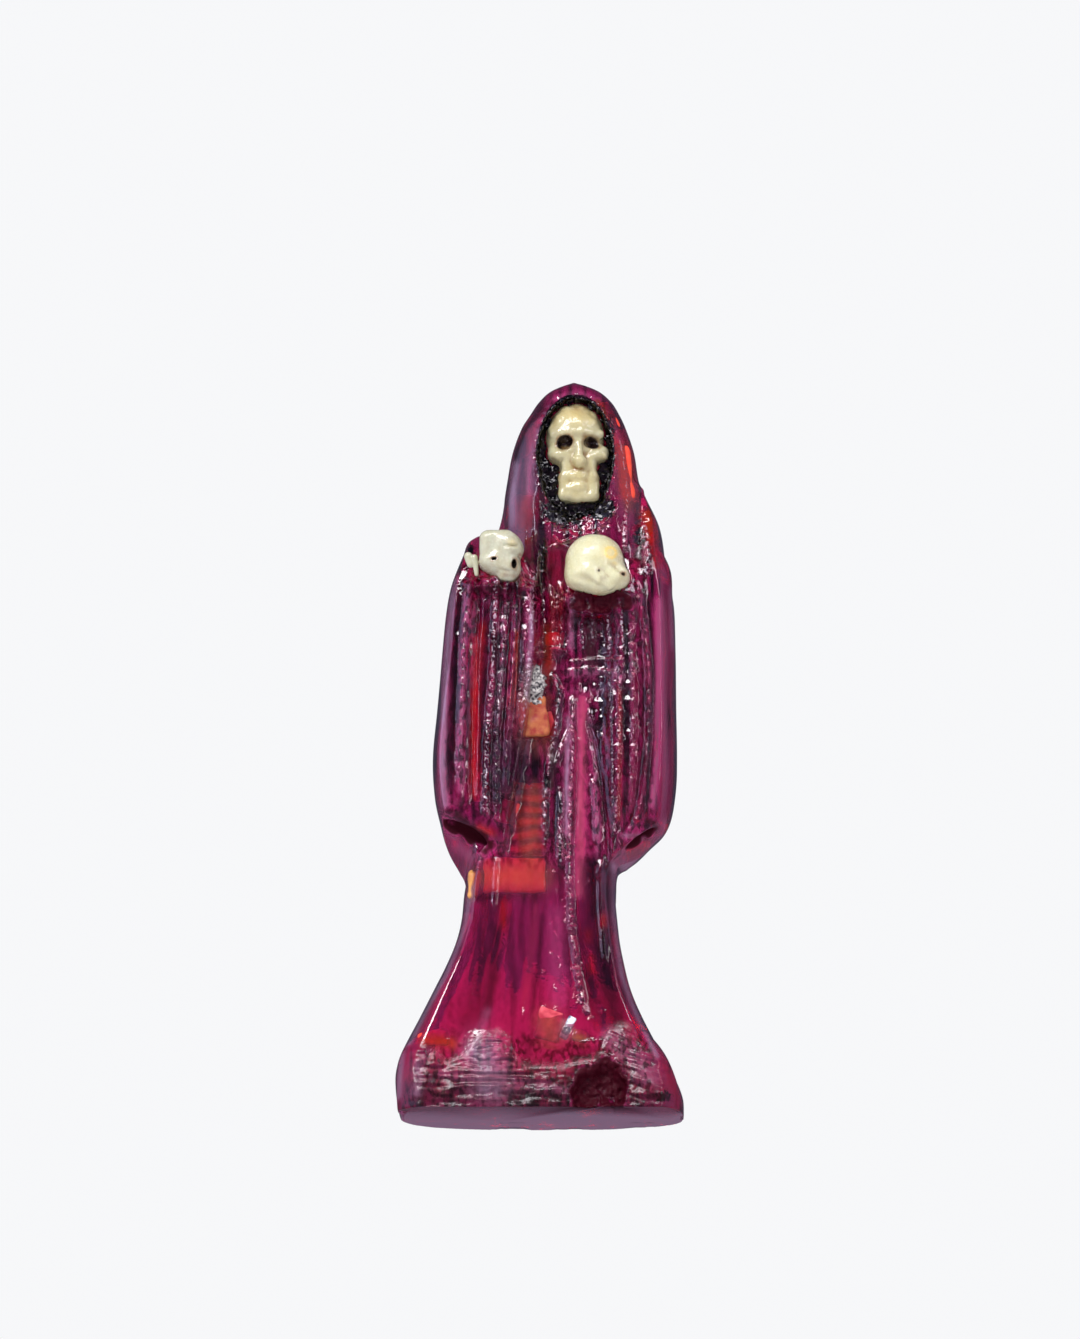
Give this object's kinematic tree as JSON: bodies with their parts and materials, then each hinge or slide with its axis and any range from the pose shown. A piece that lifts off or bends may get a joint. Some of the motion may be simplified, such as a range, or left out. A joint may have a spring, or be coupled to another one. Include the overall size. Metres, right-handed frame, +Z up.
{
  "type": "santa muerte figure",
  "caption": "Robed and hooded skeleton figure in clear dark red resin, with an ivory skull face and a small skull in each hand, standing on its wide flat hem.",
  "frame": {"origin": "middle of the flat underside's bounding box", "axes": "+X to the viewer's right, +Y away from the viewer, +Z up; the figure faces -Y"},
  "size_m": [0.0388, 0.0262, 0.1],
  "materials": {
    "resin": "clear, tinted dark red, glossy",
    "face_ivory": "glossy, with a brown wash in its hollows",
    "skull_ivory": "satin"
  },
  "bodies": {
    "root": {"resin_figure": "resin", "face_skull": "face_ivory", "left_skull": "skull_ivory", "right_skull": "skull_ivory"}
  },
  "joints": []
}
